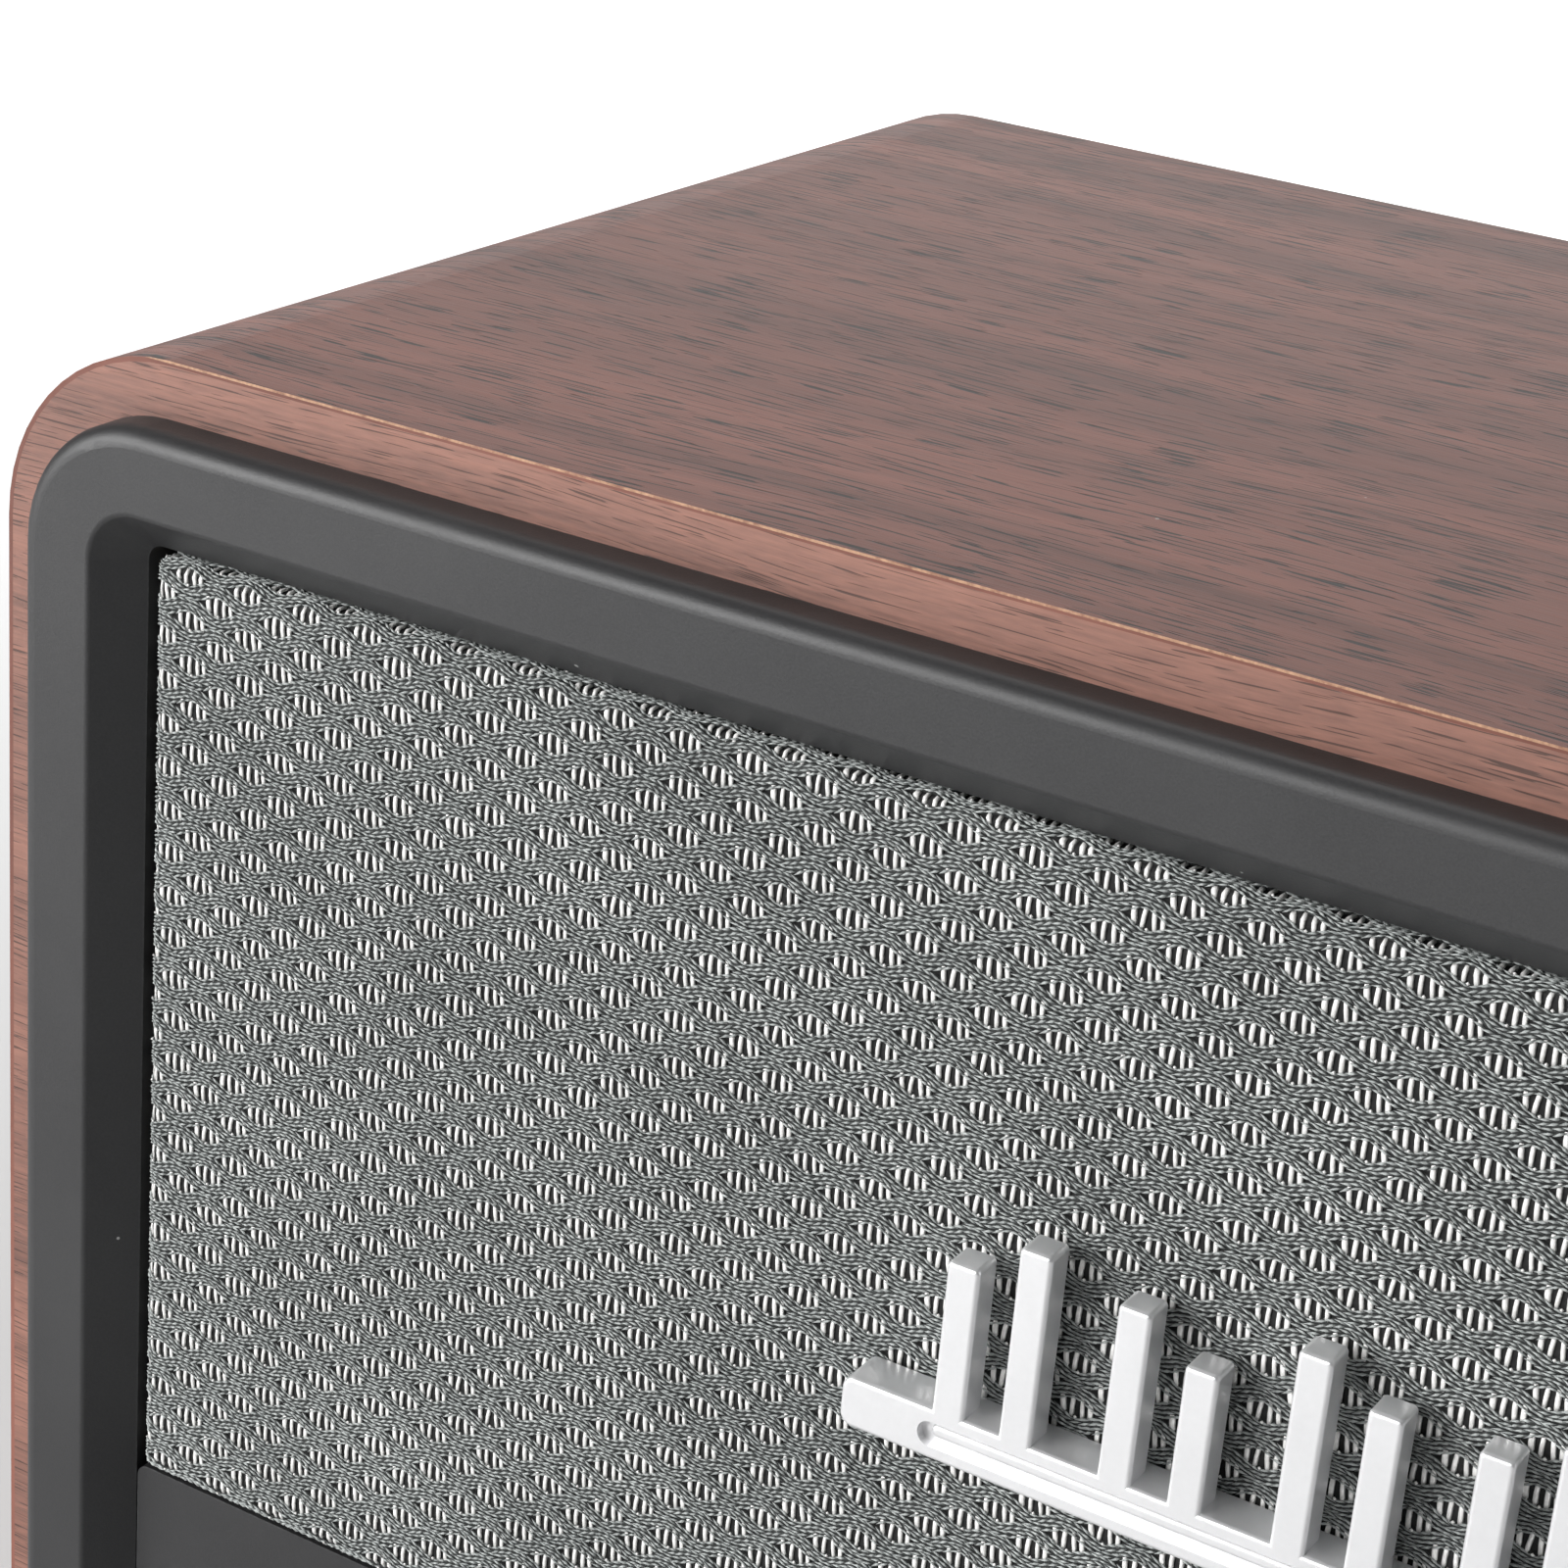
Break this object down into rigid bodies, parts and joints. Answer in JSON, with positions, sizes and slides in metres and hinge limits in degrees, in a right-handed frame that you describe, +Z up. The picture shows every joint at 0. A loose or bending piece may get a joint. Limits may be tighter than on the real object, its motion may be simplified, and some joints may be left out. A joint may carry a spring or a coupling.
{
  "type": "tabletop radio",
  "caption": "Wood-veneered tabletop stereo radio with a cloth grille, moulded bezel, turning knobs, push buttons and a folding telescopic aerial.",
  "frame": {"origin": "under the middle of the cabinet, on the surface the rubber feet stand on", "axes": "+X to the listener's right, +Y to the back, +Z up"},
  "size_m": [0.32, 0.188, 0.196],
  "materials": {
    "wood_fibre": "raw fibreboard",
    "veneer": "satin walnut-toned veneer",
    "veneer_front": "satin veneer, paler cut",
    "bezel_plastic": "fine matt texture",
    "grille_fabric": "openwork knit of grey-green and silver yarn",
    "black_plastic": "matt moulded",
    "silver_paint": "satin silver paint",
    "panel_plastic": "fine matt texture",
    "display_glass": "smoked clear window",
    "display_face": "unlit display",
    "circuit_board": "solder mask",
    "zinc_case": "die cast",
    "plated_steel": "zinc plated",
    "black_steel": "black coated",
    "magnet_ferrite": "sintered ferrite",
    "rubber": "moulded rubber",
    "black_screws": "black oxide",
    "heat_sink_metal": "extruded",
    "capacitor_sleeve": "shrink sleeve",
    "white_plastic": "nylon",
    "ribbon": "ribbed insulation",
    "rear_board": "black laminated board",
    "knob_plastic": "satin moulded, fine ribs",
    "spun_metal": "spun face",
    "button_plastic": "satin moulded",
    "cone_paper": "pressed paper pulp",
    "rocker_plastic": "gloss moulded",
    "chrome": "polished plated brass"
  },
  "bodies": {
    "cabinet": {"cabinet_core": "wood_fibre", "veneer_wrap": "veneer", "front_veneer": "veneer_front", "front_bezel": "bezel_plastic", "grille_cloth": "grille_fabric", "grille_frame": "black_plastic", "badge": "silver_paint", "control_panel": "panel_plastic", "display_lens": "display_glass", "display_module": "display_face", "front_board": "circuit_board", "tact_switches": "black_plastic", "volume_control": "zinc_case", "tuning_control": "zinc_case", "bushing_nuts": "plated_steel", "baffle_board": "wood_fibre", "left_basket": "black_steel", "right_basket": "black_steel", "speaker_magnets": "magnet_ferrite", "cone_surrounds": "rubber", "driver_screws": "black_screws", "main_board": "circuit_board", "board_standoffs": "black_plastic", "heat_sink": "heat_sink_metal", "tuner_module": "plated_steel", "filter_capacitors": "capacitor_sleeve", "board_connectors": "white_plastic", "ribbon_cable": "ribbon", "rear_panel": "rear_board", "terminal_plate": "black_plastic", "corner_blocks": "wood_fibre", "rear_screws": "black_screws", "plate_screws": "black_screws", "aux_jack": "black_plastic", "headphone_jack": "black_plastic", "dc_inlet": "black_plastic", "rocker_frame": "black_plastic", "rubber_feet": "rubber", "foot_screws": "plated_steel", "aerial_mount": "plated_steel"},
    "volume_dial": {"volume_knob": "knob_plastic", "volume_cap": "spun_metal", "volume_shaft": "plated_steel"},
    "tuning_dial": {"tuning_knob": "knob_plastic", "tuning_cap": "spun_metal", "tuning_shaft": "plated_steel"},
    "standby_key": {"button_standby": "button_plastic"},
    "source_key": {"button_source": "button_plastic"},
    "preset_key": {"button_preset": "button_plastic"},
    "menu_key": {"button_menu": "button_plastic"},
    "left_diaphragm": {"left_cone": "cone_paper"},
    "right_diaphragm": {"right_cone": "cone_paper"},
    "rocker": {"power_rocker": "rocker_plastic"},
    "aerial_fork": {"aerial_swivel": "chrome", "aerial_pin": "chrome"},
    "aerial_arm": {"aerial_knuckle": "chrome", "aerial_tube": "chrome"},
    "aerial_first": {"aerial_rod_1": "chrome"},
    "aerial_second": {"aerial_rod_2": "chrome"},
    "aerial_third": {"aerial_rod_3": "chrome"}
  },
  "joints": [
    {"name": "volume_turn", "type": "hinge", "parent": "cabinet", "child": "volume_dial", "pos_m": [-0.106, -0.094, 0.05017], "axis": [0, -1, 0], "range_deg": [-150, 150]},
    {"name": "tuning_turn", "type": "hinge", "parent": "cabinet", "child": "tuning_dial", "pos_m": [0.106, -0.094, 0.05017], "axis": [0, -1, 0], "continuous": true},
    {"name": "standby_press", "type": "slide", "parent": "cabinet", "child": "standby_key", "axis": [0, 1, 0], "range_m": [0, 0.0006], "stiffness_N_per_m": 1500},
    {"name": "source_press", "type": "slide", "parent": "cabinet", "child": "source_key", "axis": [0, 1, 0], "range_m": [0, 0.0006], "stiffness_N_per_m": 1500},
    {"name": "preset_press", "type": "slide", "parent": "cabinet", "child": "preset_key", "axis": [0, 1, 0], "range_m": [0, 0.0006], "stiffness_N_per_m": 1500},
    {"name": "menu_press", "type": "slide", "parent": "cabinet", "child": "menu_key", "axis": [0, 1, 0], "range_m": [0, 0.0006], "stiffness_N_per_m": 1500},
    {"name": "left_stroke", "type": "slide", "parent": "cabinet", "child": "left_diaphragm", "axis": [0, 1, 0], "range_m": [-0.0015, 0.0015], "stiffness_N_per_m": 1800},
    {"name": "right_stroke", "type": "slide", "parent": "cabinet", "child": "right_diaphragm", "axis": [0, 1, 0], "range_m": [-0.0015, 0.0015], "stiffness_N_per_m": 1800},
    {"name": "power_rock", "type": "hinge", "parent": "cabinet", "child": "rocker", "pos_m": [-0.014, 0.0772, 0.048], "axis": [0, 0, -1], "range_deg": [0, 16]},
    {"name": "aerial_turn", "type": "hinge", "parent": "cabinet", "child": "aerial_fork", "pos_m": [0.128, 0.088, 0.17], "axis": [0, 1, 0], "continuous": true},
    {"name": "aerial_tilt", "type": "hinge", "parent": "aerial_fork", "child": "aerial_arm", "pos_m": [0.128, 0.088, 0.17], "axis": [1, 0, 0], "range_deg": [0, 90]},
    {"name": "aerial_pull_1", "type": "slide", "parent": "aerial_arm", "child": "aerial_first", "axis": [0, 0, -1], "range_m": [0, 0.112]},
    {"name": "aerial_pull_2", "type": "slide", "parent": "aerial_first", "child": "aerial_second", "axis": [0, 0, -1], "range_m": [0, 0.112]},
    {"name": "aerial_pull_3", "type": "slide", "parent": "aerial_second", "child": "aerial_third", "axis": [0, 0, -1], "range_m": [0, 0.112]}
  ]
}
